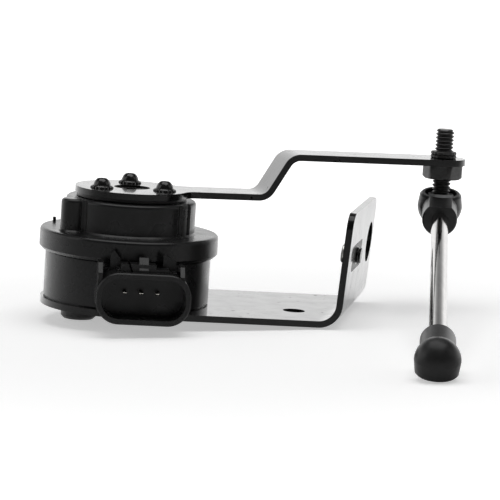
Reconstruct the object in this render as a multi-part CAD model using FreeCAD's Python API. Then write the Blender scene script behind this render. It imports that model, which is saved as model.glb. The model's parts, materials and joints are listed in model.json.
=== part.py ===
import FreeCAD, Part
import math
import os

# Ride height sensor: a round rotary sensor on a bent steel bracket, with a cranked lever arm,
# a threaded ball stud and a drop link that ends in an open ball socket.
# Millimetres. +Z is up along the turning axis and +X runs from the housing to the bracket's
# upright. The origin is on the turning axis at the top face of the bracket's base.

V = FreeCAD.Vector
Z = V(0, 0, 1)

# The sizes that the rest follow
housing_r = 28.0
arm_length = 109.6
link_length = 143.0

# Bracket: a steel strip with a round end, folded up about an oblique line
plate_t = 2.2
plate_over = 1.0
bend_inner_r = 6.0
bend_skew = 15.8
bend_lean = 3.5
upright_setback = 30.0
upright_top = 36.4
upright_corner_r = 5.0
base_hole_back = 21.8
base_hole_y = -9.2
base_hole_r = 3.75
upright_hole_in = 10.2
upright_hole_up = 21.2
upright_hole_r = 7.0
slot_in = 17.0
slot_up = 20.4
slot_length = 22.0
slot_height = 9.0
slot_corner_r = 1.5

# Fixings between the housing and the bracket, the first with a tall head
fix_count = 3
fix_radius = 15.7
fix_start = 176.0
fix_shank_r = 2.5
fix_hole_gap = 0.3
fix_depth = 4.2
fix_head_r = 6.0
fix_head_h = 5.4
low_head_r = 4.5
low_head_h = 2.2
fix_head_chamfer = 0.9
fix_hex = 4.0
fix_hex_depth = 1.3

# Lower housing
housing_wall = 2.5
housing_floor = 5.4
housing_top = 15.7
rabbet_h = 0.5
rabbet_in = 0.8
ledge_w = 4.5
ledge_h = 2.4
boss_wall = 1.6
gasket_t = 0.5
gasket_w = 4.0

# Head: flange ring, hub and the column on its side
flange_over = 2.2
flange_top = 23.6
flange_round = 1.1
hub_in = 6.0
hub_top = 34.6
hub_round = 1.1
hub_foot = 0.6
round_steps = 3
head_wall = 10.0
recess_in = 6.4
recess_depth = 3.6
web_t = 3.5
sleeve_wall = 2.4
column_r = 4.2
column_bearing = 205.8
groove_r = 1.6
groove_out = 0.9
groove_bearings = (221.8, 315.6, 328.6)
pip_in = 2.4
pip_bearing = 154.4
pip_r = 0.55
pip_h = 1.5

# Sealed connector header, which points along -Y. Places along Y count back from its mouth, and a
# pair is where a feature starts and ends.
plug_x = 3.1
plug_z = 6.2
plug_w = 31.2
plug_h = 17.0
plug_side_flat = 1.8
plug_wall = 1.8
plug_reach = 13.0
plug_depth = 9.6
plug_rim = 0.4
plate_gap = 0.6
neck_in = 1.0
neck_top = 14.6
neck_bury = 4.0
neck_corner_r = 3.0
terminal_x = 2.6
terminal_pitch = 5.4
terminal_w = 1.2
terminal_t = 0.8
terminal_chamfer = 0.3
terminal_from = 6.0
terminal_inside = 9.0
guard_t = 1.5
guard_y = (1.5, 11.4)
guard_hook = 0.6
guard_hook_h = 1.5
guard_slope = 3.0
left_guard = (0.4, 17.3)
right_guard = (2.4, 16.9)
fin_y = (8.6, 10.0)
left_fin = (-8.0, 3.4, 1.2, 20.9)
right_fin = (9.4, 4.4, 0.3, 20.4)
fin_shoulder = 2.7
rib_t = 1.3
rib_from = 3.4
tab_x = (1.3, 4.4)
tab_y = (2.6, 7.4)
tab_top = 19.3
tab_flat = 1.5
tab_front_h = 0.8
shelf_x = (-4.7, 6.9)
shelf_top = 17.3
shelf_y = (3.2, 9.0)
low_shelf_x = (6.9, 11.2)
low_shelf_top = 15.8
shelf_slit_x = -2.2
shelf_slit_w = 0.6
shelf_slit_lean = 0.9

# Turning parts
run_gap = 0.05
flat_gap = 0.3
shaft_r = 5.0
shaft_bottom = 10.2
bush_wall = 1.6
bush_length = 9.0
seal_w = 2.6
seal_t = 1.4
clip_t = 1.0
clip_w = 2.6
clip_groove = 0.5
clip_mouth = 3.0
rotor_t = 1.0
rotor_in = 0.6
boss_gap = 0.4
spigot_h = 1.5
spigot_hex = 5.0
spigot_hex_depth = 2.5
magnet_r = 3.9
magnet_t = 3.0

# Circuit board
board_t = 1.6
board_gap = 0.4
board_flat = 3.5
chip_w = 4.4
chip_t = 1.5

# Lever arm
arm_t = 2.2
arm_w = 15.4
arm_disc_in = 2.8
arm_neck_r = 5.0
arm_bearing = 8.0
arm_rise = 14.1
crank_start = 45.4
crank_angle = 60.0
arm_bend_r = 4.0
screw_in = 7.0
screw_start = 90.0
screw_count = 3
screw_shank_r = 1.75
screw_hole_gap = 0.2
screw_flange_r = 3.9
screw_flange_t = 1.0
screw_dome_r = 2.85
screw_dome_h = 2.7
screw_depth = 4.4
screw_tip_gap = 0.6
screw_hex = 2.5
screw_hex_depth = 1.4
screw_hex_turn = 20.0

# Ball stud, its hexagon and the locking collar
thread_r = 3.175
thread_tip = 0.6
shank_over = 0.3
shank_above_collar = 0.3
stud_neck_r = 2.4
stud_post_r = 3.0
stud_neck_top = 4.4
stud_up = 10.0
stud_hex = 12.1
stud_hex_h = 5.0
stud_hex_turn = 13.2
stud_hex_chamfer = 0.6
stud_hole_gap = 0.2
collar_r = 4.45
collar_h = 2.3
collar_ridges = 3
collar_groove = 0.35

# Ball joint and drop link. Each end is its cup's radius and its neck's radius.
ball_r = 5.0
ball_drop = 9.4
race_wall = 0.9
race_open = 46.0
race_steps = 5
upper_end = (7.75, 6.0)
lower_end = (7.2, 5.6)
cup_rim = 4.6
rim_taper = 0.93
rim_chamfer = 0.7
mouth_r = 5.6
neck_reach = 16.0
neck_chamfer = 0.5
rod_r = 2.9
rod_seat = 8.0
link_bearing = -99.2
link_drop = 12.2

# Captive screw in the upright's slot
insert_lip = 1.2
insert_lip_t = 0.9
insert_gap = 0.1
captive_r = 2.9
captive_shoulder_over = 0.3
captive_out = 1.5
captive_in = 2.0
captive_chamfer = 0.4

# Heights and radii that follow from the sizes above
head_base = housing_top + gasket_t
plate_half = housing_r + plate_over
flange_r = housing_r + flange_over
hub_r = housing_r - hub_in
recess_r = hub_r - recess_in
arm_disc_r = hub_r - arm_disc_in
rotor_r = arm_disc_r - rotor_in
screw_circle_r = arm_disc_r - screw_in
spigot_r = screw_circle_r / 2
plug_front = -housing_r - plug_reach
plug_corner_r = (plug_h - plug_side_flat) / 2
rotor_base = hub_top + flat_gap
arm_base = rotor_base + rotor_t
arm_top = arm_base + arm_t
arm_high = arm_base + arm_rise
recess_floor = hub_top - recess_depth
bush_top = recess_floor
bush_bottom = bush_top - bush_length
bush_r = shaft_r + run_gap
clip_low = bush_bottom - flat_gap - clip_t
shank_r = thread_r + shank_over
board_top = housing_floor + board_t
cavity_r = housing_r - housing_wall
race_r = ball_r + run_gap + race_wall
stud_hex_base = arm_high - stud_hex_h
ball_z = stud_hex_base - ball_drop
axis_arm = V(math.cos(math.radians(arm_bearing)), math.sin(math.radians(arm_bearing)), 0)
stud_at = axis_arm * arm_length
ball_at = V(stud_at.x, stud_at.y, ball_z)
upright_x = stud_at.x - upright_setback
base_hole = (upright_x - base_hole_back, base_hole_y)
upright_hole = (plate_half - upright_hole_in, upright_hole_up)
slot_centre = (slot_in - plate_half, slot_up)
captive_shoulder_r = captive_r + captive_shoulder_over


def disc(radius, low, high, x=0.0, y=0.0):
    return Part.makeCylinder(radius, high - low, V(x, y, low))


def block(x0, x1, y0, y1, z0, z1):
    return Part.makeBox(x1 - x0, y1 - y0, z1 - z0, V(x0, y0, z0))


def polar(radius, bearing):
    angle = math.radians(bearing)
    return radius * math.cos(angle), radius * math.sin(angle)


def prism(points, along):
    wire = Part.makePolygon(points + points[:1])
    return Part.Face(wire).extrude(along)


def turned(points):
    # Solid of revolution about Z from a closed outline of radius and height pairs
    outline = [V(r, 0, z) for r, z in points]
    return Part.Face(Part.makePolygon(outline + outline[:1])).revolve(V(0, 0, 0), Z, 360)


def hexagon(flats, low, high, x=0.0, y=0.0, turn=0.0):
    reach = flats / 2 / math.cos(math.pi / 6)
    corners = [polar(reach, turn + 60 * k) for k in range(6)]
    return prism([V(x + a, y + b, low) for a, b in corners], V(0, 0, high - low))


def is_circle(edge, radius, height):
    if edge.Degenerated or not isinstance(edge.Curve, Part.Circle):
        return False
    curve = edge.Curve
    return abs(curve.Radius - radius) < 0.01 and abs(curve.Center.z - height) < 0.01


def circles(shape, radius, height):
    return [edge for edge in shape.Edges if is_circle(edge, radius, height)]


def circles_at(shape, centre):
    return [edge for edge in shape.Edges
            if isinstance(edge.Curve, Part.Circle) and edge.Curve.Center.isEqual(centre, 0.001)]


def runs_along(edge, direction):
    return abs(edge.tangentAt(edge.FirstParameter).dot(direction)) > 0.99


def rounded_slab(width, height, corner, y0, y1, x, z):
    # A rounded rectangle in the XZ plane, pushed along Y
    slab = block(x - width / 2, x + width / 2, y0, y1, z - height / 2, z + height / 2)
    return slab.makeFillet(corner, [e for e in slab.Edges if runs_along(e, V(0, 1, 0))])


def save(name, shape):
    shape.removeSplitter().exportStep(os.path.join("parts", name + ".step"))


# The upright's own frame: a runs along the fold, b runs up the sheet and c points outward
skew = math.radians(bend_skew)
lean = math.radians(bend_lean)
fold = V(math.sin(skew), math.cos(skew), 0)
level_out = V(math.cos(skew), -math.sin(skew), 0)
sheet_up = Z * math.cos(lean) + level_out * math.sin(lean)
sheet_out = level_out * math.cos(lean) - Z * math.sin(lean)


def on_upright(a, b, c=0.0):
    return V(upright_x, 0, 0) + fold * a + sheet_up * b + sheet_out * c


def upright_bore(radius, place):
    return Part.makeCylinder(radius, 4 * plate_t, on_upright(*place, -3 * plate_t), sheet_out)


def bracket():
    # Side view of the fold, in the plane square to it, from the flat base to the upright's top
    turn = math.pi / 2 - lean
    outer_r = bend_inner_r + plate_t
    reach = upright_x * math.cos(skew) - plate_t * math.tan(lean)
    start = reach - outer_r * math.tan(turn / 2)
    centre = V(start, 0, bend_inner_r)
    up = V(math.sin(lean), 0, math.cos(lean))
    outward = V(math.cos(lean), 0, -math.sin(lean))
    middle = V(math.sin(turn / 2), 0, -math.cos(turn / 2))
    rise = up * ((upright_top - (centre + outward * outer_r).z) / up.z)
    low, mid, high = [centre + way * outer_r for way in (-Z, middle, outward)]
    low_in, mid_in, high_in = [centre + way * bend_inner_r for way in (-Z, middle, outward)]
    edges = [Part.Arc(low, mid, high).toShape(), Part.makeLine(high, high + rise),
             Part.makeLine(high + rise, high_in + rise), Part.makeLine(high_in + rise, high_in),
             Part.Arc(high_in, mid_in, low_in).toShape(), Part.makeLine(low_in, low)]
    width = 2 * plate_half / math.cos(skew)
    folded = Part.Face(Part.Wire(edges)).extrude(V(0, width, 0))
    folded.translate(V(0, -width / 2, 0))
    folded.rotate(V(0, 0, 0), Z, -bend_skew)
    folded.translate(fold * (start * math.tan(skew)))
    corners = [e for e in folded.Edges
               if abs(e.Length - plate_t) < 0.01 and e.CenterOfMass.z > upright_top - plate_t]
    folded = folded.makeFillet(upright_corner_r, corners)
    # The flat base runs from its round end to the oblique fold line
    fold_x = start / math.cos(skew)
    shift = plate_half * math.tan(skew)
    flat = prism([V(0, -plate_half, -plate_t), V(fold_x - shift, -plate_half, -plate_t),
                  V(fold_x + shift, plate_half, -plate_t), V(0, plate_half, -plate_t)],
                 V(0, 0, plate_t))
    body = flat.fuse([disc(plate_half, -plate_t, 0), folded])
    body = body.cut(disc(base_hole_r, -plate_t, 0, *base_hole))
    for x, y in fixing_places():
        body = body.cut(disc(fix_shank_r + fix_hole_gap, -plate_t, 0, x, y))
    body = body.cut(upright_bore(upright_hole_r, upright_hole))
    return body.cut(slot_prism(slot_length, slot_height, -2 * plate_t, plate_t))


def slot_prism(length, height, inner, outer):
    # A block with rounded corners at the slot's place, square to the upright
    a, b = slot_centre
    ends = [(-1, -1), (1, -1), (1, 1), (-1, 1)]
    points = [on_upright(a + i * length / 2, b + j * height / 2, inner) for i, j in ends]
    body = prism(points, sheet_out * (outer - inner))
    return body.makeFillet(slot_corner_r, [e for e in body.Edges if runs_along(e, sheet_out)])


def fixing_places():
    return [polar(fix_radius, fix_start + 360 / fix_count * k) for k in range(fix_count)]


def fixing(index):
    x, y = fixing_places()[index]
    radius, height = (fix_head_r, fix_head_h) if index == 0 else (low_head_r, low_head_h)
    bottom = -plate_t - height
    head = disc(radius, bottom, -plate_t, x, y)
    head = head.makeChamfer(fix_head_chamfer, circles(head, radius, bottom))
    head = head.cut(hexagon(fix_hex, bottom, bottom + fix_hex_depth, x, y))
    return head.fuse(disc(fix_shank_r, -plate_t, fix_depth, x, y))


def upright_insert():
    # Moulded insert in the slot, with a wide lip on the sheet's inner face
    length, height = slot_length - 2 * insert_gap, slot_height - 2 * insert_gap
    lip_length, lip_height = slot_length + 2 * insert_lip, slot_height + 2 * insert_lip
    body = slot_prism(length, height, -plate_t, 0)
    body = body.fuse(slot_prism(lip_length, lip_height, -plate_t - insert_lip_t, -plate_t))
    return body.cut(upright_bore(captive_shoulder_r, slot_centre))


def captive_screw():
    # Short screw: a plain shoulder through the insert and the free thread outside the sheet
    inner = -plate_t - insert_lip_t - captive_in
    shoulder = Part.makeCylinder(captive_shoulder_r, -inner, on_upright(*slot_centre, inner), sheet_out)
    thread = Part.makeCylinder(captive_r, captive_out, on_upright(*slot_centre), sheet_out)
    shoulder = shoulder.makeChamfer(captive_chamfer, circles_at(shoulder, on_upright(*slot_centre, inner)))
    thread = thread.makeChamfer(captive_chamfer, circles_at(thread, on_upright(*slot_centre, captive_out)))
    return shoulder.fuse(thread)


def lower_housing():
    body = disc(housing_r, rabbet_h, housing_top)
    body = body.fuse(disc(housing_r - rabbet_in, 0, rabbet_h))
    body = body.fuse([connector_neck(), connector_shroud(), connector_latch()] + connector_walls())
    body = body.cut(disc(cavity_r, housing_floor, housing_top))
    body = body.cut(disc(cavity_r - ledge_w, housing_floor - ledge_h, housing_floor))
    for x, y in fixing_places():
        body = body.fuse(disc(fix_shank_r + boss_wall, housing_floor - ledge_h, housing_floor, x, y))
        body = body.cut(disc(fix_shank_r, 0, fix_depth, x, y))
    return body.cut(connector_inside())


def connector_shroud():
    # Oval shroud in front of the bracket's edge
    step = -plate_half - plate_gap
    body = rounded_slab(plug_w, plug_h, plug_corner_r, plug_front, step, plug_x, plug_z)
    rim = [e for e in body.Edges
           if abs(e.CenterOfMass.y - plug_front) < 0.01 and e.BoundBox.YLength < 0.01]
    return body.makeChamfer(plug_rim, rim)


def connector_neck():
    # Joins the shroud to the housing over the bracket
    step = -plate_half - plate_gap
    half = plug_w / 2 - neck_in
    neck = block(plug_x - half, plug_x + half, step, -housing_r + neck_bury, 0, neck_top)
    edges = [e for e in neck.Edges if runs_along(e, V(0, 1, 0)) and e.CenterOfMass.z > neck_top / 2]
    return neck.makeFillet(neck_corner_r, edges)


def side_wall(points, y_from, y_to):
    # Wall over the shroud: an outline across the mouth, pushed back between two places
    y = plug_front + y_from
    return prism([V(x, y, z) for x, z in points], V(0, y_to - y_from, 0))


def connector_walls():
    # Two guards with inward hooks, two pointed fins with a rib, and the low shelves between them
    buried = plug_z + plug_h / 2 - plug_wall
    walls = []
    for (inset, top), side in ((left_guard, -1), (right_guard, 1)):
        outer = plug_x + side * (plug_w / 2 - inset)
        inner, hook = outer - side * guard_t, outer - side * (guard_t + guard_hook)
        front, back = [plug_front + place for place in guard_y]
        guard = prism([V(outer, front, plug_z), V(outer, front, top - guard_slope),
                       V(outer, front + guard_slope, top), V(outer, back, top), V(outer, back, plug_z)],
                      V(inner - outer, 0, 0))
        walls.append(guard)
        lip = [(outer, top), (hook, top - guard_hook_h / 3), (hook, top - guard_hook_h),
               (outer, top - guard_hook_h)]
        walls.append(side_wall(lip, guard_y[0] + guard_slope, guard_y[1]))
    for x, width, tip, peak in (left_fin, right_fin):
        low = peak - fin_shoulder
        outline = [(x, buried), (x, peak - tip), (x + tip, peak), (x + width, low), (x + width, buried)]
        walls.append(side_wall(outline, *fin_y))
        rib = [(x + width - rib_t, buried), (x + width - rib_t, low - fin_shoulder),
               (x + width, low - fin_shoulder), (x + width, buried)]
        walls.append(side_wall(rib, rib_from, fin_y[0]))
    for (x0, x1), top in ((shelf_x, shelf_top), (low_shelf_x, low_shelf_top)):
        walls.append(side_wall([(x0, buried), (x0, top), (x1, top), (x1, buried)], *shelf_y))
    slit = [(shelf_slit_x + shelf_slit_lean, plug_z + plug_h / 2), (shelf_slit_x, shelf_top),
            (shelf_slit_x + shelf_slit_w, shelf_top),
            (shelf_slit_x + shelf_slit_w + shelf_slit_lean, plug_z + plug_h / 2)]
    walls[-2] = walls[-2].cut(side_wall(slit, *shelf_y))
    return walls


def connector_latch():
    # Ramped tab that the mating plug's latch climbs
    top_of_shroud = plug_z + plug_h / 2
    front, back = [plug_front + place for place in tab_y]
    left, right = tab_x
    return prism([V(left, back, top_of_shroud - plug_wall), V(left, back, tab_top),
                  V(left, back - tab_flat, tab_top), V(left, front, top_of_shroud + tab_front_h),
                  V(left, front, top_of_shroud - plug_wall)], V(right - left, 0, 0))


def connector_inside():
    width, height = plug_w - 2 * plug_wall, plug_h - 2 * plug_wall
    pocket = rounded_slab(width, height, plug_corner_r - plug_wall, plug_front,
                          plug_front + plug_depth, plug_x, plug_z)
    return pocket.fuse([terminal_block(k) for k in range(3)])


def terminal_block(index):
    x = terminal_x + (index - 1) * terminal_pitch
    return block(x - terminal_w / 2, x + terminal_w / 2, plug_front + terminal_from,
                 -housing_r + terminal_inside, board_top, board_top + terminal_t)


def terminal(index):
    blade = terminal_block(index)
    tip = [e for e in blade.Edges if abs(e.CenterOfMass.y - plug_front - terminal_from) < 0.01
           and runs_along(e, V(1, 0, 0))]
    return blade.makeChamfer(terminal_chamfer, tip)


def gasket():
    outer = housing_r - rabbet_in
    return disc(outer, housing_top, head_base).cut(disc(outer - gasket_w, housing_top, head_base))


def rounded_post(radius, low, high, flare, edge):
    # Round post whose foot flares out, or is chamfered where negative, with a rounded top edge
    outline = [(0, low), (radius + flare, low), (radius, low + abs(flare))]
    for k in range(round_steps + 1):
        across, up = polar(edge, 90.0 / round_steps * k)
        outline.append((radius - edge + across, high - edge + up))
    return turned(outline + [(0, high)])


def head():
    body = rounded_post(flange_r, head_base, flange_top, -flange_round, flange_round)
    column = rounded_post(column_r, flange_top, hub_top, hub_foot, hub_round)
    column.translate(V(*polar(hub_r, column_bearing), 0))
    body = body.fuse([rounded_post(hub_r, flange_top, hub_top, hub_foot, hub_round), column])
    for bearing in groove_bearings:
        gx, gy = polar(hub_r + groove_out, bearing)
        body = body.cut(disc(groove_r, flange_top + hub_foot, hub_top, gx, gy))
    body = body.cut(disc(recess_r, recess_floor, hub_top))
    body = body.cut(disc(housing_r - head_wall, head_base, recess_floor - web_t))
    body = body.fuse(disc(bush_r + bush_wall + sleeve_wall, bush_bottom, recess_floor))
    body = body.cut(disc(bush_r + bush_wall, bush_bottom, recess_floor))
    # Small locating pip on the flange
    return body.fuse(disc(pip_r, flange_top, flange_top + pip_h, *polar(flange_r - pip_in, pip_bearing)))


def bush():
    outer = bush_r + bush_wall
    return disc(outer, bush_bottom, bush_top).cut(disc(bush_r, bush_bottom, bush_top))


def circuit_board():
    radius = cavity_r - board_gap
    body = disc(radius, housing_floor, board_top)
    return body.cut(block(-radius, radius, cavity_r - board_flat, radius, housing_floor, board_top))


def sensor_chip():
    half = chip_w / 2
    return block(-half, half, -half, half, board_top, board_top + chip_t)


def rotor():
    # Plate under the arm, boss in the hub's recess, spigot through the arm, and the shaft
    body = disc(rotor_r, rotor_base, arm_base)
    body = body.fuse([disc(recess_r - boss_gap, recess_floor + flat_gap, rotor_base),
                      disc(spigot_r, arm_base, arm_base + spigot_h),
                      disc(shaft_r, shaft_bottom, rotor_base)])
    body = body.cut(hexagon(spigot_hex, arm_base + spigot_h - spigot_hex_depth, arm_base + spigot_h))
    for x, y in screw_places():
        body = body.cut(disc(screw_shank_r, arm_top - screw_depth - screw_tip_gap, arm_base, x, y))
    seal_top = recess_floor + flat_gap + seal_t
    body = body.cut(ring(shaft_r, shaft_r + seal_w, recess_floor, seal_top))
    body = body.cut(ring(shaft_r - clip_groove, shaft_r, clip_low, clip_low + clip_t))
    return body.cut(disc(magnet_r, shaft_bottom, shaft_bottom + magnet_t))


def ring(inner, outer, low, high):
    return disc(outer, low, high).cut(disc(inner, low, high))


def shaft_seal():
    # Face seal carried by the rotor's boss, just clear of the recess floor
    return ring(shaft_r, shaft_r + seal_w, recess_floor + run_gap, recess_floor + flat_gap + seal_t)


def retaining_clip():
    body = ring(shaft_r - clip_groove, shaft_r + clip_w, clip_low, clip_low + clip_t)
    half = clip_mouth / 2
    return body.cut(block(0, shaft_r + clip_w, -half, half, clip_low, clip_low + clip_t))


def magnet():
    return disc(magnet_r, shaft_bottom, shaft_bottom + magnet_t)


def screw_places():
    return [polar(screw_circle_r, screw_start + 360 / screw_count * k) for k in range(screw_count)]


def arm_side():
    # Centre line of the cranked strip, seen from its side, as straight runs and bend arcs
    turn = math.radians(crank_angle)
    bend_r = arm_bend_r + arm_t / 2
    trim = bend_r * math.tan(turn / 2)
    bulge = bend_r * (1 / math.cos(turn / 2) - 1)
    slope = V(math.cos(turn), 0, math.sin(turn))
    middle = arm_base + arm_t / 2
    low = V(crank_start, 0, middle)
    high = low + slope * (arm_rise / math.sin(turn))
    level = V(1, 0, 0)
    path = []
    start = V(0, 0, middle)
    for corner, before, after in ((low, level, slope), (high, slope, level)):
        first, last = corner - before * trim, corner + after * trim
        inward = (after - before).normalize()
        path.append(Part.makeLine(start, first))
        path.append(Part.Arc(first, corner + inward * bulge, last).toShape())
        start = last
    path.append(Part.makeLine(start, V(arm_length + arm_w, 0, middle + arm_rise)))
    return Part.Wire(path)


def arm():
    # A flat strip swept along the cranked line, trimmed by the plan outline of disc, neck and end
    section = Part.makePolygon([V(0, -arm_disc_r, arm_base), V(0, arm_disc_r, arm_base),
                                V(0, arm_disc_r, arm_top), V(0, -arm_disc_r, arm_top),
                                V(0, -arm_disc_r, arm_base)])
    strip = arm_side().makePipeShell([section], True, False, 2)
    tall = arm_top + arm_rise
    outline = block(0, arm_length, -arm_w / 2, arm_w / 2, 0, tall)
    outline = outline.fuse([disc(arm_w / 2, 0, tall, arm_length, 0), disc(arm_disc_r, 0, tall)])
    outline = outline.removeSplitter()
    neck = [e for e in outline.Edges if runs_along(e, Z) and 0 < e.CenterOfMass.x < arm_disc_r
            and abs(abs(e.CenterOfMass.y) - arm_w / 2) < 0.01]
    outline = outline.makeFillet(arm_neck_r, neck)
    body = strip.common(outline).fuse(disc(arm_disc_r, arm_base, arm_top)).removeSplitter()
    body = body.cut(disc(spigot_r, arm_base, arm_top))
    body = body.cut(disc(shank_r + stud_hole_gap, 0, tall, arm_length, 0))
    body.rotate(V(0, 0, 0), Z, arm_bearing)
    for x, y in screw_places():
        body = body.cut(disc(screw_shank_r + screw_hole_gap, arm_base, arm_top, x, y))
    return body


def arm_screw(index):
    x, y = screw_places()[index]
    flange_top_z = arm_top + screw_flange_t
    top = flange_top_z + screw_dome_h
    ball = (screw_dome_r ** 2 + screw_dome_h ** 2) / (2 * screw_dome_h)
    dome = Part.makeSphere(ball, V(x, y, top - ball))
    dome = dome.common(disc(screw_dome_r, flange_top_z, top, x, y))
    body = disc(screw_flange_r, arm_top, flange_top_z, x, y)
    body = body.fuse([dome, disc(screw_shank_r, arm_top - screw_depth, arm_top, x, y)])
    return body.cut(hexagon(screw_hex, top - screw_hex_depth, top, x, y, screw_hex_turn * index))


def ball_stud():
    # Ball, neck, post up to the hexagon, shoulder through the arm and collar, then the free thread
    hex_top = ball_drop + stud_hex_h
    shank_top = hex_top + arm_t + collar_h + shank_above_collar
    thread_top = hex_top + arm_t + stud_up
    cone_top = stud_neck_top + stud_post_r - stud_neck_r
    post = turned([(0, 0), (stud_neck_r, 0), (stud_neck_r, stud_neck_top), (stud_post_r, cone_top),
                   (stud_post_r, ball_drop), (shank_r, ball_drop),
                   (shank_r, shank_top), (thread_r, shank_top), (thread_r, thread_top - thread_tip),
                   (thread_r - thread_tip, thread_top), (0, thread_top)])
    reach = stud_hex / 2 / math.cos(math.pi / 6)
    nut = hexagon(stud_hex, ball_drop, hex_top, turn=stud_hex_turn)
    nut = nut.common(turned([(0, ball_drop), (reach - 2 * stud_hex_chamfer, ball_drop),
                             (reach, ball_drop + stud_hex_chamfer), (reach, hex_top), (0, hex_top)]))
    body = Part.makeSphere(ball_r).fuse([post, nut])
    body.translate(ball_at)
    return body


def locking_collar():
    # Ring with shallow grooves round it, standing on the arm
    low = arm_high + arm_t
    bore = shank_r + run_gap
    pitch = collar_h / collar_ridges
    outline = [(bore, low), (collar_r, low)]
    for k in range(1, collar_ridges):
        outline += [(collar_r, low + pitch * k - collar_groove / 2),
                    (collar_r - collar_groove, low + pitch * k),
                    (collar_r, low + pitch * k + collar_groove / 2)]
    body = turned(outline + [(collar_r, low + collar_h), (bore, low + collar_h)])
    body.translate(stud_at)
    return body


def place_link(shape, along=0.0):
    # Link frame: X runs from the upper ball to the lower one, Z out of the upper mouth
    shape.translate(V(along, 0, 0))
    shape.rotate(V(0, 0, 0), V(0, 1, 0), link_drop)
    shape.rotate(V(0, 0, 0), Z, link_bearing)
    shape.translate(ball_at)
    return shape


def round_of_cones(radius, last):
    # Outline of a ball as straight sides that touch it, from its bottom pole to an angle
    step = (last + 90.0) / race_steps
    reach = radius / math.cos(math.radians(step / 2))
    return [polar(reach, step * k - 90.0) for k in range(race_steps + 1)]


def race_shape():
    # Thin shell round the ball, open towards the stud's neck
    last = 90.0 - race_open
    inner = round_of_cones(ball_r + run_gap, last)
    outer = round_of_cones(race_r * math.cos(math.radians((last + 90.0) / race_steps / 2)), last)
    return turned([(0.0, inner[0][1])] + inner[1:] + outer[:0:-1] + [(0.0, outer[0][1])])


def upper_race():
    body = race_shape()
    body.translate(ball_at)
    return body


def lower_race():
    body = race_shape()
    body.rotate(V(0, 0, 0), V(1, 0, 0), 180)
    return place_link(body, link_length)


def socket_shape(cup_r, neck_r):
    # Cup with a round bottom and an open mouth, on a neck that holds the rod and is flat on the
    # mouth's side, level with the rim
    low, side = V(0, 0, -cup_r), V(cup_r, 0, 0)
    across, down = polar(cup_r, -45.0)
    rim_r = cup_r * rim_taper
    corners = [side, V(rim_r, 0, cup_rim - rim_chamfer), V(rim_r - rim_chamfer, 0, cup_rim),
               V(0, 0, cup_rim), low]
    edges = [Part.Arc(low, V(across, 0, down), side).toShape()]
    edges += [Part.makeLine(a, b) for a, b in zip(corners, corners[1:])]
    cup = Part.Face(Part.Wire(edges)).revolve(V(0, 0, 0), Z, 360)
    neck = Part.makeCylinder(neck_r, neck_reach, V(0, 0, 0), V(1, 0, 0))
    end = [e for e in neck.Edges if abs(e.CenterOfMass.x - neck_reach) < 0.01]
    neck = neck.makeChamfer(neck_chamfer, end)
    neck = neck.cut(block(0, neck_reach, -neck_r, neck_r, cup_rim, neck_r))
    body = cup.fuse(neck)
    hollow = round_of_cones(race_r + run_gap, 90.0)
    body = body.cut(turned([(0.0, hollow[0][1])] + hollow[1:-1] + [(0.0, hollow[-1][1])]))
    body = body.cut(disc(mouth_r, 0, cup_rim))
    return body.cut(Part.makeCylinder(rod_r, neck_reach, V(rod_seat, 0, 0), V(1, 0, 0)))


def upper_socket():
    return place_link(socket_shape(*upper_end))


def lower_socket():
    body = socket_shape(*lower_end)
    body.rotate(V(0, 0, 0), V(0, 1, 0), 180)
    return place_link(body, link_length)


def link_rod():
    length = link_length - 2 * rod_seat
    return place_link(Part.makeCylinder(rod_r, length, V(rod_seat, 0, 0), V(1, 0, 0)))


os.makedirs("parts", exist_ok=True)

save("bracket", bracket())
for number in range(fix_count):
    save("bracket_fixing_%d" % (number + 1), fixing(number))
save("upright_insert", upright_insert())
save("captive_screw", captive_screw())
save("lower_housing", lower_housing())
for number in range(3):
    save("terminal_%d" % (number + 1), terminal(number))
save("circuit_board", circuit_board())
save("sensor_chip", sensor_chip())
save("gasket", gasket())
save("head_cover", head())
save("shaft_bush", bush())
save("rotor", rotor())
save("shaft_seal", shaft_seal())
save("retaining_clip", retaining_clip())
save("magnet", magnet())
save("lever_arm", arm())
for number in range(screw_count):
    save("arm_screw_%d" % (number + 1), arm_screw(number))
save("ball_stud", ball_stud())
save("locking_collar", locking_collar())
save("upper_race", upper_race())
save("upper_socket", upper_socket())
save("link_rod", link_rod())
save("lower_socket", lower_socket())
save("lower_race", lower_race())
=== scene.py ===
import json
import math

import bmesh
import bpy
from mathutils import Matrix, Vector


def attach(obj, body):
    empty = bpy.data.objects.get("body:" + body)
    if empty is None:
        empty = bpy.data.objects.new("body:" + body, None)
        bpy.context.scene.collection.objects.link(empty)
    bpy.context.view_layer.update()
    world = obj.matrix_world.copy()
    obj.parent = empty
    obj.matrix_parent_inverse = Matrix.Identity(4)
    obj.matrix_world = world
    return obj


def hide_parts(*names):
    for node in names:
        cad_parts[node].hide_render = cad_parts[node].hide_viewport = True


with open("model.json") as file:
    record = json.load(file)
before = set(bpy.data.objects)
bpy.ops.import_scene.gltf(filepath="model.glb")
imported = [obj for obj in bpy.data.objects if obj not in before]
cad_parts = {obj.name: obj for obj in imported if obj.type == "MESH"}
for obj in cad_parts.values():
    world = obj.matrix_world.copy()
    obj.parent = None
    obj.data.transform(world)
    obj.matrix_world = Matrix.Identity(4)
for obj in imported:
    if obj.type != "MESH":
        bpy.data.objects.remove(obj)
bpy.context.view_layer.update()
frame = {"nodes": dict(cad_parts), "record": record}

# Looks of a ride height sensor: materials for every solid, real threads and small fasteners,
# a white table, soft lights and the camera. Lengths are metres, in the solids' own frame.

MM = 0.001
nodes = frame["nodes"]
scene = bpy.context.scene

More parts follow.
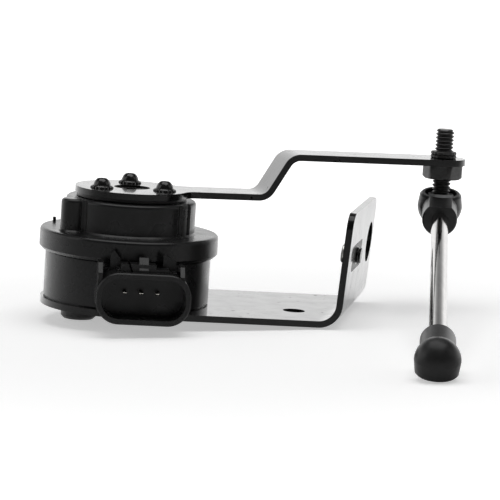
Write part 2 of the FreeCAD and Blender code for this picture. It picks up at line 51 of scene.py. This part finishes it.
# Camera, from the outline of the housing and the bracket in the photograph
IMAGE_PX = 500
FOCAL_PX = 2811.0
CAM_YAW = 0.1142
CAM_PITCH = 0.1392
CAM_ROLL = 0.0660
CAM_OFFSET = Vector((-42.36, 16.38, 956.25)) * MM

# The part lies tilted on the table: on the tall fixing head, the fold and the lower socket
TABLE_TILT_X = 3.62
TABLE_TILT_Y = 0.35

# Studio: where the white wall behind ends to the sides and above, and the room's dim level
WALL_EDGE = (-0.3, 0.35)
WALL_TOP = (0.28, 0.62)
ROOM_LEVEL = 0.07

# Sizes that the small pieces share with the solids
THREAD_R = 3.175 * MM
THREAD_PITCH = 1.27 * MM
THREAD_DEPTH = 0.62 * MM
STUD_HEX = 12.1 * MM
STUD_HEX_TURN = 13.2
ARM_BEARING = 8.0
ARM_LENGTH = 109.6 * MM
ARM_LOW = 35.9 * MM
ARM_RISE = 14.1 * MM
ARM_T = 2.2 * MM
HEX_H = 5.0 * MM
BALL_DROP = 9.4 * MM
BALL_R = 5.0 * MM
NECK_R = 2.4 * MM
NECK_TOP = 4.4 * MM
HEX_BEVEL = 0.7 * MM
STUD_END_BEVEL = 0.7 * MM
STUD_UP = 10.0 * MM
COLLAR_R = 4.45 * MM
COLLAR_H = 2.3 * MM
ARM_TOP = ARM_LOW + ARM_T
SCREW_CIRCLE_R = 12.2 * MM
SCREW_START = 90.0
SCREW_SHANK_R = 1.75 * MM
SCREW_DEPTH = 4.4 * MM
SCREW_FLANGE_R = 3.9 * MM
SCREW_FLANGE_T = 1.0 * MM
SCREW_DOME_R = 2.85 * MM
SCREW_DOME_H = 2.7 * MM
SCREW_HEX = 2.5 * MM
SCREW_HEX_DEPTH = 1.4 * MM
SCREW_TEETH = 18
CAPTIVE_R = 2.9 * MM
CAPTIVE_PITCH = 1.0 * MM
CAPTIVE_DEPTH = 0.5 * MM
CAPTIVE_CHAMFER = 0.4 * MM

# Meshing of the small pieces: points round a ring, rings in one turn of thread, the small radius
# that stands for a point on the axis, and how far joined forms run into each other
POINTS = 48
FINE_POINTS = 72
RINGS_PER_PITCH = 14
POINT_R = 0.02 * MM
OVERLAP = 0.2 * MM

# The upright's own directions, which the captive screw follows
UPRIGHT_SETBACK = 30.0 * MM
BEND_SKEW = 15.8
BEND_LEAN = 3.5
SLOT_CENTRE = (-12.0 * MM, 20.4 * MM)
CAPTIVE_IN = -5.1 * MM
CAPTIVE_OUT = 1.5 * MM
CAPTIVE_SHOULDER_R = 3.2 * MM
LIP_FACE = -3.1 * MM


class Nodes:
    # Short way to build a material's node tree
    def __init__(self, name):
        self.material = bpy.data.materials.new(name)
        self.material.use_nodes = True
        self.tree = self.material.node_tree
        self.shader = self.tree.nodes["Principled BSDF"]

    def add(self, kind, **values):
        node = self.tree.nodes.new(kind)
        for key, value in values.items():
            if key in node.inputs:
                node.inputs[key].default_value = value
            else:
                setattr(node, key, value)
        return node

    def link(self, source, target):
        self.tree.links.new(source, target)

    def set(self, **values):
        for key, value in values.items():
            self.shader.inputs[key.replace("_", " ")].default_value = value

    def noise(self, scale, detail=2.0, rough=0.5, stretch=None):
        place = self.add("ShaderNodeTexCoord").outputs["Object"]
        if stretch:
            mapping = self.add("ShaderNodeMapping")
            mapping.inputs["Scale"].default_value = stretch
            self.link(place, mapping.inputs["Vector"])
            place = mapping.outputs["Vector"]
        node = self.add("ShaderNodeTexNoise", Scale=scale, Detail=detail, Roughness=rough)
        self.link(place, node.inputs["Vector"])
        return node.outputs["Fac"]

    def cells(self, scale, jitter=1.0):
        place = self.add("ShaderNodeTexCoord").outputs["Object"]
        node = self.add("ShaderNodeTexVoronoi", Scale=scale, Randomness=jitter)
        self.link(place, node.inputs["Vector"])
        return node

    def ramp(self, source, stops):
        node = self.add("ShaderNodeValToRGB")
        elements = node.color_ramp.elements
        while len(elements) < len(stops):
            elements.new(0.5)
        for element, (place, colour) in zip(elements, stops):
            element.position = place
            element.color = colour if isinstance(colour, tuple) else (colour, colour, colour, 1)
        self.link(source, node.inputs["Fac"])
        return node.outputs["Color"]

    def map_range(self, source, low_high, first_last, shape="SMOOTHSTEP"):
        node = self.add("ShaderNodeMapRange", interpolation_type=shape)
        for name, value in zip(("From Min", "From Max", "To Min", "To Max"), low_high + first_last):
            node.inputs[name].default_value = value
        self.link(source, node.inputs["Value"])
        return node.outputs["Result"]

    def grazing(self, most):
        # Nothing where the surface faces the viewer, and most where it is seen edge on
        facing = self.add("ShaderNodeLayerWeight", Blend=0.5)
        return self.map_range(facing.outputs["Facing"], (0.3, 0.75), (0.0, most), "LINEAR")

    def soft_edges(self, radius):
        # Shades every sharp edge as if it had a small radius
        return self.add("ShaderNodeBevel", samples=4, Radius=radius).outputs["Normal"]

    def bump(self, source, distance, strength=1.0, under=None):
        node = self.add("ShaderNodeBump", Strength=strength, Distance=distance)
        self.link(source, node.inputs["Height"])
        if under:
            self.link(under, node.inputs["Normal"])
        return node.outputs["Normal"]


def grey(value):
    return (value, value, value, 1)


def black_paint(name, dark, coat):
    # Gloss black paint on sheet steel: faint orange peel, and small pits that lose the shine
    m = Nodes(name)
    tone = m.ramp(m.noise(90.0, 3.0), [(0.3, grey(dark * 0.8)), (0.7, grey(dark * 1.25))])
    m.link(tone, m.shader.inputs["Base Color"])
    dots = m.ramp(m.cells(520.0).outputs["Distance"], [(0.22, 1.0), (0.34, 0.0)])
    chance = m.ramp(m.noise(240.0, 1.0), [(0.66, 0.0), (0.70, 1.0)])
    pits = m.add("ShaderNodeMath", operation="MULTIPLY")
    m.link(dots, pits.inputs[0])
    m.link(chance, pits.inputs[1])
    smooth = m.noise(160.0, 4.0)
    for socket, whole, pitted in (("Roughness", (0.16, 0.26), 0.9),
                                  ("Specular IOR Level", (0.4, 0.4), 0.05)):
        clean = m.ramp(smooth, [(0.35, whole[0]), (0.7, whole[1])])
        mix = m.add("ShaderNodeMix", data_type="FLOAT")
        m.link(pits.outputs[0], mix.inputs["Factor"])
        m.link(clean, mix.inputs[2])
        mix.inputs[3].default_value = pitted
        m.link(mix.outputs[0], m.shader.inputs[socket])
    m.set(Coat_Roughness=0.06, Coat_IOR=1.65, IOR=1.5)
    m.link(m.grazing(coat), m.shader.inputs["Coat Weight"])
    peel = m.bump(m.noise(600.0, 2.0), 0.000015, 0.3, m.soft_edges(0.25 * MM))
    m.link(m.bump(pits.outputs[0], -0.0001, 0.6, peel), m.shader.inputs["Normal"])
    return m.material


def moulded(name, dark, rough_low, rough_high, grain, coat=0.5):
    # Glass-filled moulded plastic: fine spark texture, cloudy gloss and faint flow marks
    m = Nodes(name)
    cloud = m.noise(55.0, 4.0, 0.6)
    tone = m.ramp(cloud, [(0.3, grey(dark * 0.85)), (0.72, (dark * 1.2, dark * 1.2, dark * 1.24, 1))])
    m.link(tone, m.shader.inputs["Base Color"])
    rough = m.ramp(m.noise(120.0, 3.0), [(0.35, rough_low), (0.68, rough_high)])
    m.link(rough, m.shader.inputs["Roughness"])
    m.set(IOR=1.52, Specular_IOR_Level=0.32, Coat_Roughness=0.2)
    m.link(m.grazing(coat), m.shader.inputs["Coat Weight"])
    fine = m.bump(m.noise(grain, 3.0), 0.00003, 0.45, m.soft_edges(0.2 * MM))
    flow = m.noise(70.0, 2.0, 0.5, (1.0, 1.0, 0.25))
    m.link(m.bump(flow, 0.00012, 0.25, fine), m.shader.inputs["Normal"])
    return m.material


def metal(name, colour, rough_low, rough_high, stretch, grain=900.0, depth=0.00002):
    # Metal with fine tool marks along one direction and cloudy roughness
    m = Nodes(name)
    r, g, b = colour
    marks = m.noise(grain, 3.0, 0.6, stretch)
    tone = m.ramp(marks, [(0.3, (r * 0.85, g * 0.85, b * 0.85, 1)), (0.7, (r, g, b, 1))])
    m.link(tone, m.shader.inputs["Base Color"])
    rough = m.ramp(m.noise(200.0, 3.0), [(0.3, rough_low), (0.7, rough_high)])
    m.link(rough, m.shader.inputs["Roughness"])
    m.set(Metallic=1.0)
    m.link(m.bump(marks, depth, 0.4), m.shader.inputs["Normal"])
    return m.material


def phosphate(name, dark, gloss):
    # Black oxide or phosphate on steel fasteners: grainy, oily, a little brown in the hollows
    m = Nodes(name)
    grain = m.noise(1500.0, 4.0, 0.65)
    tone = m.ramp(grain, [(0.35, (dark * 0.8, dark * 0.74, dark * 0.7, 1)),
                          (0.7, (dark * 1.5, dark * 1.5, dark * 1.5, 1))])
    m.link(tone, m.shader.inputs["Base Color"])
    rough = m.ramp(m.noise(600.0, 3.0), [(0.3, gloss), (0.7, gloss + 0.18)])
    m.link(rough, m.shader.inputs["Roughness"])
    m.set(Metallic=0.35, IOR=1.6, Coat_Weight=0.3, Coat_Roughness=0.2)
    m.link(m.bump(grain, 0.00004, 0.4), m.shader.inputs["Normal"])
    return m.material


def board_material():
    # Green solder mask with faint track lines
    m = Nodes("board_mask")
    tracks = m.cells(260.0, 0.3)
    tone = m.ramp(tracks.outputs["Distance"], [(0.25, (0.02, 0.12, 0.05, 1)), (0.4, (0.03, 0.2, 0.08, 1))])
    m.link(tone, m.shader.inputs["Base Color"])
    m.set(Roughness=0.3)
    return m.material


MATERIALS = {
    "black_paint": black_paint("gloss_black_paint", 0.004, 0.9),
    "housing_plastic": moulded("moulded_black", 0.012, 0.24, 0.36, 2600.0),
    "rotor_plastic": moulded("rotor_black", 0.006, 0.35, 0.5, 2000.0),
    "socket_plastic": moulded("socket_nylon", 0.02, 0.34, 0.46, 2400.0),
    "chip_plastic": moulded("chip_black", 0.02, 0.5, 0.6, 3000.0),
    "black_rubber": moulded("black_rubber", 0.008, 0.6, 0.75, 1800.0),
    "race_nylon": moulded("race_nylon", 0.45, 0.35, 0.5, 1500.0),
    "dark_fastener": phosphate("dark_phosphate", 0.022, 0.30),
    "black_screw": phosphate("black_screw_finish", 0.008, 0.14),
    "zinc_steel": metal("zinc_steel", (0.62, 0.62, 0.60), 0.28, 0.42, (1.0, 1.0, 6.0)),
    "tinned_contact": metal("tinned_contact", (0.80, 0.78, 0.72), 0.2, 0.32, (4.0, 1.0, 1.0)),
    "bronze": metal("bronze", (0.55, 0.36, 0.16), 0.35, 0.5, (1.0, 1.0, 1.0)),
    "magnet_grey": metal("magnet_grey", (0.35, 0.35, 0.36), 0.4, 0.55, (1.0, 1.0, 1.0)),
    "bright_rod": metal("bright_rod", (0.86, 0.85, 0.84), 0.05, 0.11, (1.0, 0.08, 1.0), 500.0, 0.000008),
    "board_green": board_material(),
}
slot_of = {entry["node"]: entry["material_slot"] for entry in frame["record"]["subparts"]}


def dress(obj, slot):
    obj.data.materials.clear()
    obj.data.materials.append(MATERIALS[slot])


for node_name, node_object in nodes.items():
    dress(node_object, slot_of[node_name])


def new_piece(name, bm, slot, body, smooth_angle=40.0):
    bmesh.ops.remove_doubles(bm, verts=bm.verts, dist=1e-7)
    bmesh.ops.recalc_face_normals(bm, faces=bm.faces)
    mesh = bpy.data.meshes.new(name)
    bm.to_mesh(mesh)
    bm.free()
    for polygon in mesh.polygons:
        polygon.use_smooth = True
    mesh.set_sharp_from_angle(angle=math.radians(smooth_angle))
    obj = bpy.data.objects.new(name, mesh)
    scene.collection.objects.link(obj)
    dress(obj, slot)
    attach(obj, body)
    return obj


def ring_surface(bm, rings, place):
    # Joins rings of equal length into a closed skin, with a fan at each end
    loops = [[bm.verts.new(place @ Vector(p)) for p in ring] for ring in rings]
    count = len(loops[0])
    for lower, upper in zip(loops, loops[1:]):
        for k in range(count):
            bm.faces.new((lower[k], lower[(k + 1) % count], upper[(k + 1) % count], upper[k]))
    bm.faces.new(loops[0][::-1])
    bm.faces.new(loops[-1])


def circle(radius, z, count):
    turns = [2 * math.pi * k / count for k in range(count)]
    return [(radius * math.cos(t), radius * math.sin(t), z) for t in turns]


def lathe(bm, profile, place):
    ring_surface(bm, [circle(r, z, POINTS) for r, z in profile], place)


def thread_height(phase):
    # Depth below the crest at a phase of 0 to 1: flat crest, 60 degree flanks, narrow root
    crest, root = 0.14, 0.10
    flank = (1 - crest - root) / 2
    if phase < crest:
        return 0.0
    if phase < crest + flank:
        return (phase - crest) / flank
    if phase < crest + flank + root:
        return 1.0
    return 1.0 - (phase - crest - flank - root) / flank


def threaded_rod(bm, z0, z1, radius, pitch, depth, end_bevel, place):
    # A right-hand thread whose crest fades into a bevel at the top end
    rings = []
    total = max(2, int((z1 - z0) / pitch * RINGS_PER_PITCH))
    for i in range(total + 1):
        z = z0 + (z1 - z0) * i / total
        limit = min(radius, radius - end_bevel + (z1 - z))
        ring = []
        for k in range(POINTS):
            phase = (z / pitch - k / POINTS) % 1.0
            r = min(radius - depth * thread_height(phase), limit)
            turn = 2 * math.pi * k / POINTS
            ring.append((r * math.cos(turn), r * math.sin(turn), z))
        rings.append(ring)
    ring_surface(bm, rings, place)


def hex_ring(flats, z, turn, reach):
    # A hexagon cut back to a circle of the given reach at its corners
    ring = []
    for k in range(POINTS):
        angle = 2 * math.pi * k / POINTS
        local = (angle - math.radians(turn) + math.pi / 6) % (math.pi / 3) - math.pi / 6
        r = min(flats / 2 / math.cos(local), reach)
        ring.append((r * math.cos(angle), r * math.sin(angle), z))
    return ring


def hexagon_nut(bm, flats, z0, z1, turn, place):
    corner = flats / 2 / math.cos(math.pi / 6)
    rings = []
    for step in range(5):
        share = step / 4
        rings.append(hex_ring(flats, z0 + HEX_BEVEL * share, turn, flats / 2 + (corner - flats / 2) * share))
    rings.append(hex_ring(flats, z1 - HEX_BEVEL * 0.3, turn, corner))
    rings.append(hex_ring(flats, z1, turn, corner - HEX_BEVEL * 0.4))
    ring_surface(bm, rings, place)


# Ball stud, as one forging: ball, neck, threaded shank, hexagon and free thread
stud_angle = math.radians(ARM_BEARING)
stud_x, stud_y = ARM_LENGTH * math.cos(stud_angle), ARM_LENGTH * math.sin(stud_angle)
ball_z = ARM_LOW + ARM_RISE - HEX_H - BALL_DROP
stud_place = Matrix.Translation((stud_x, stud_y, ball_z))
stud_top = BALL_DROP + HEX_H + ARM_T + STUD_UP

bm = bmesh.new()
arc = [-90 + 6 * k for k in range(31)]
ball_profile = [(max(BALL_R * math.cos(math.radians(a)), POINT_R), BALL_R * math.sin(math.radians(a)))
                for a in arc]
neck_start = math.sqrt(BALL_R ** 2 - NECK_R ** 2)
ball_profile = [p for p in ball_profile if p[1] < neck_start] + [(NECK_R, neck_start), (NECK_R, NECK_TOP)]
ball_profile.append((THREAD_R - THREAD_DEPTH, NECK_TOP + OVERLAP))
lathe(bm, ball_profile, stud_place)
threaded_rod(bm, NECK_TOP + OVERLAP / 2, BALL_DROP + OVERLAP, THREAD_R, THREAD_PITCH, THREAD_DEPTH, 0,
             stud_place)
hexagon_nut(bm, STUD_HEX, BALL_DROP, BALL_DROP + HEX_H, STUD_HEX_TURN, stud_place)
threaded_rod(bm, BALL_DROP + HEX_H - OVERLAP, stud_top, THREAD_R, THREAD_PITCH, THREAD_DEPTH,
             STUD_END_BEVEL, stud_place)
stud_piece = new_piece("threaded_ball_stud", bm, "dark_fastener", "lever", 35.0)
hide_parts("ball_stud")

# Locking collar: two toothed spring washers pressed together
bm = bmesh.new()
collar_z = ARM_LOW + ARM_RISE + ARM_T
for layer in range(2):
    rings = []
    base = collar_z + layer * COLLAR_H / 2
    for z, pull in ((0.0, 0.25), (0.25, 0.0), (0.8, 0.0), (1.0, 0.35)):
        ring = []
        for k in range(FINE_POINTS):
            turn = 2 * math.pi * k / FINE_POINTS
            tooth = 0.16 * MM if k % 4 < 2 else 0.0
            r = COLLAR_R - tooth - pull * MM
            ring.append((r * math.cos(turn + layer * 0.09), r * math.sin(turn + layer * 0.09),
                         base + z * COLLAR_H / 2))
        rings.append(ring)
    ring_surface(bm, rings, Matrix.Translation((stud_x, stud_y, 0)))
collar_piece = new_piece("toothed_collar", bm, "dark_fastener", "lever", 30.0)
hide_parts("locking_collar")


# Arm screws: shank, toothed flange, dome and hexagon socket
def screw_rings():
    def plain(radius, z):
        return circle(radius, z, FINE_POINTS)

    def toothed(radius, z, depth):
        ring = []
        for k in range(FINE_POINTS):
            turn = 2 * math.pi * k / FINE_POINTS
            r = radius - depth * (0.5 - 0.5 * math.cos(SCREW_TEETH * turn))
            ring.append((r * math.cos(turn), r * math.sin(turn), z))
        return ring

    ball = (SCREW_DOME_R ** 2 + SCREW_DOME_H ** 2) / (2 * SCREW_DOME_H)
    centre = SCREW_FLANGE_T + SCREW_DOME_H - ball
    low = math.asin((SCREW_FLANGE_T - centre) / ball)
    socket_r = SCREW_HEX / 2 / math.cos(math.pi / 6)
    high = math.acos((socket_r + 0.15 * MM) / ball)
    rings = [plain(SCREW_SHANK_R, -SCREW_DEPTH), plain(SCREW_SHANK_R, 0.0),
             toothed(SCREW_FLANGE_R, 0.0, 0.35 * MM), toothed(SCREW_FLANGE_R, 0.3 * MM, 0.35 * MM),
             toothed(SCREW_FLANGE_R - 0.2 * MM, 0.55 * MM, 0.12 * MM),
             plain(SCREW_DOME_R + 0.35 * MM, SCREW_FLANGE_T - 0.1 * MM)]
    for k in range(13):
        angle = low + (high - low) * k / 12
        rings.append(plain(ball * math.cos(angle), centre + ball * math.sin(angle)))
    mouth = centre + ball * math.sin(high)
    return rings, mouth


def socket_ring(z):
    ring = []
    for k in range(FINE_POINTS):
        turn = 2 * math.pi * k / FINE_POINTS
        local = (turn + math.pi / 6) % (math.pi / 3) - math.pi / 6
        r = SCREW_HEX / 2 / math.cos(local)
        ring.append((r * math.cos(turn), r * math.sin(turn), z))
    return ring


for number in range(3):
    turn = math.radians(SCREW_START + 120 * number)
    bm = bmesh.new()
    rings, mouth = screw_rings()
    rings += [socket_ring(mouth - 0.05 * MM), socket_ring(mouth - SCREW_HEX_DEPTH),
              circle(0.2 * MM, mouth - SCREW_HEX_DEPTH - 0.3 * MM, FINE_POINTS)]
    place = Matrix.Translation((SCREW_CIRCLE_R * math.cos(turn), SCREW_CIRCLE_R * math.sin(turn), ARM_TOP))
    ring_surface(bm, rings, place @ Matrix.Rotation(turn * 1.7, 4, "Z"))
    screw_piece = new_piece("button_screw_%d" % (number + 1), bm, "black_screw", "lever", 35.0)
    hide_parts("arm_screw_%d" % (number + 1))

# Captive screw through the upright's slot, with a real thread
skew, lean = math.radians(BEND_SKEW), math.radians(BEND_LEAN)
fold = Vector((math.sin(skew), math.cos(skew), 0))
level_out = Vector((math.cos(skew), -math.sin(skew), 0))
sheet_up = Vector((0, 0, 1)) * math.cos(lean) + level_out * math.sin(lean)
sheet_out = level_out * math.cos(lean) - Vector((0, 0, 1)) * math.sin(lean)
slot_at = Vector((stud_x - UPRIGHT_SETBACK, 0, 0)) + fold * SLOT_CENTRE[0] + sheet_up * SLOT_CENTRE[1]
axes = Matrix((fold, sheet_up, sheet_out)).transposed().to_4x4()
bm = bmesh.new()
captive_place = Matrix.Translation(slot_at) @ axes
threaded_rod(bm, -CAPTIVE_CHAMFER, CAPTIVE_OUT, CAPTIVE_R, CAPTIVE_PITCH, CAPTIVE_DEPTH,
             CAPTIVE_CHAMFER, captive_place)
lathe(bm, [(POINT_R, CAPTIVE_IN), (CAPTIVE_SHOULDER_R - CAPTIVE_CHAMFER, CAPTIVE_IN),
           (CAPTIVE_SHOULDER_R, CAPTIVE_IN + CAPTIVE_CHAMFER), (CAPTIVE_SHOULDER_R, LIP_FACE),
           (CAPTIVE_SHOULDER_R, 0.0), (POINT_R, 0.0)], captive_place)
captive_piece = new_piece("captive_thread", bm, "black_screw", "base", 35.0)
# The end behind the insert is bright metal
captive_piece.data.materials.append(MATERIALS["zinc_steel"])
for face in captive_piece.data.polygons:
    if (face.center - slot_at).dot(sheet_out) < LIP_FACE:
        face.material_index = 1
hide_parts("captive_screw")

# White table, tilted to the plane that the part lies on
up = Vector((-math.sin(math.radians(TABLE_TILT_X)), math.sin(math.radians(TABLE_TILT_Y)), 1.0)).normalized()
lowest = min(up.dot(v.co) for o in nodes.values() for v in o.data.vertices)
table_mesh = bpy.data.meshes.new("table")
side = up.cross(Vector((0, 1, 0))).normalized()
ahead = up.cross(side)
half = 6.0
corners = [up * lowest + side * i * half + ahead * j * half for i, j in ((-1, -1), (1, -1), (1, 1), (-1, 1))]
table_mesh.from_pydata(corners, [], [(0, 1, 2, 3)])
table = bpy.data.objects.new("table", table_mesh)
scene.collection.objects.link(table)


def table_material():
    # White table lit by the lamps. A little extra white that only the camera sees keeps the paper white
    # far from the part; near the part that glow is weaker, so the table there is painted darker: painted
    # shade round the part.
    m = Nodes("white_table")
    m.tree.nodes.remove(m.shader)
    diffuse = m.add("ShaderNodeBsdfDiffuse")
    diffuse.inputs["Color"].default_value = grey(0.84)
    away = m.add("ShaderNodeVectorMath", operation="DISTANCE")
    place = m.add("ShaderNodeNewGeometry").outputs["Position"]
    m.link(place, away.inputs[0])
    away.inputs[1].default_value = (0.03, -0.03, 0.0)
    # Painted shade: the camera-only glow falls from 1.0 far away to 0.44 near the part
    level = m.map_range(away.outputs["Value"], (0.08, 0.42), (0.44, 1.0))
    # Painted reflection: the table glows only in reflections, bright behind the part and dim in front of it
    depth = m.add("ShaderNodeSeparateXYZ")
    m.link(place, depth.inputs[0])
    behind = m.map_range(depth.outputs["Y"], (-0.12, 0.15), (0.03, 0.55))
    rays = m.add("ShaderNodeLightPath")
    shares = []
    for ray, amount in (("Is Camera Ray", level), ("Is Glossy Ray", behind)):
        share = m.add("ShaderNodeMath", operation="MULTIPLY")
        m.link(rays.outputs[ray], share.inputs[0])
        m.link(amount, share.inputs[1])
        shares.append(share)
    strength = m.add("ShaderNodeMath", operation="MAXIMUM")
    for share, socket in zip(shares, strength.inputs):
        m.link(share.outputs[0], socket)
    glow = m.add("ShaderNodeEmission")
    m.link(strength.outputs[0], glow.inputs["Strength"])
    total = m.add("ShaderNodeAddShader")
    m.link(diffuse.outputs[0], total.inputs[0])
    m.link(glow.outputs[0], total.inputs[1])
    m.link(total.outputs[0], m.tree.nodes["Material Output"].inputs["Surface"])
    return m.material


table.data.materials.append(table_material())


def sky():
    # A white wall behind the part, a dim room in front of it and a grey ceiling. The camera
    # itself sees only white.
    world = bpy.data.worlds.new("studio")
    scene.world = world
    world.use_nodes = True
    tree = world.node_tree
    background = tree.nodes["Background"]
    background.inputs["Color"].default_value = grey(1.0)
    split = tree.nodes.new("ShaderNodeSeparateXYZ")
    tree.links.new(tree.nodes.new("ShaderNodeTexCoord").outputs["Generated"], split.inputs[0])

    def step(source, low, high, first, last):
        node = tree.nodes.new("ShaderNodeMapRange")
        node.interpolation_type = "SMOOTHSTEP"
        for name, value in (("From Min", low), ("From Max", high), ("To Min", first), ("To Max", last)):
            node.inputs[name].default_value = value
        tree.links.new(source, node.inputs["Value"])
        return node.outputs["Result"]

    def combine(operation, first, second):
        node = tree.nodes.new("ShaderNodeMath")
        node.operation = operation
        for socket, source in zip(node.inputs, (first, second)):
            if isinstance(source, float):
                socket.default_value = source
            else:
                tree.links.new(source, socket)
        return node.outputs[0]

    wall = combine("MULTIPLY", step(split.outputs["Y"], *WALL_EDGE, 0.0, 1.0),
                   step(split.outputs["Z"], *WALL_TOP, 1.0, 0.0))
    room = combine("ADD", combine("MULTIPLY", wall, 1.0 - ROOM_LEVEL), ROOM_LEVEL)
    rays = tree.nodes.new("ShaderNodeLightPath")
    tree.links.new(combine("MAXIMUM", room, rays.outputs["Is Camera Ray"]), background.inputs["Strength"])


sky()


def softbox(name, place, target, width, height, power):
    light = bpy.data.lights.new(name, "AREA")
    light.shape = "RECTANGLE"
    light.size = width
    light.size_y = height
    light.energy = power
    obj = bpy.data.objects.new(name, light)
    scene.collection.objects.link(obj)
    obj.location = place
    obj.rotation_euler = (Vector(target) - Vector(place)).to_track_quat("-Z", "Y").to_euler()


softbox("top_softbox", (0.0, -0.05, 0.8), (0.03, 0, 0), 0.9, 0.6, 3.4)
softbox("left_softbox", (-0.75, -0.15, 0.35), (0.03, 0, 0.02), 0.3, 0.6, 0.55)
softbox("right_softbox", (0.75, -0.25, 0.45), (0.05, 0, 0.02), 0.3, 0.5, 0.3)


def aim_camera():
    cy, sy = math.cos(CAM_YAW), math.sin(CAM_YAW)
    cp, sp = math.cos(CAM_PITCH), math.sin(CAM_PITCH)
    cr, sr = math.cos(CAM_ROLL), math.sin(CAM_ROLL)
    turn = Matrix(((cy, -sy, 0), (sy, cy, 0), (0, 0, 1)))
    base = Matrix(((1, 0, 0), (0, 0, -1), (0, 1, 0)))
    nod = Matrix(((1, 0, 0), (0, cp, -sp), (0, sp, cp)))
    roll = Matrix(((cr, -sr, 0), (sr, cr, 0), (0, 0, 1)))
    view = roll @ nod @ base @ turn
    place = -(view.transposed() @ CAM_OFFSET)
    right, down, ahead_dir = view[0], view[1], view[2]
    data = bpy.data.cameras.new("camera")
    data.sensor_width = 36.0
    data.lens = FOCAL_PX / IMAGE_PX * data.sensor_width
    data.clip_start = 0.01
    data.clip_end = 50.0
    camera = bpy.data.objects.new("camera", data)
    scene.collection.objects.link(camera)
    axes = Matrix((right, -down, -ahead_dir)).transposed()
    camera.matrix_world = Matrix.Translation(place) @ axes.to_4x4()
    scene.camera = camera


aim_camera()
scene.view_settings.view_transform = "Standard"
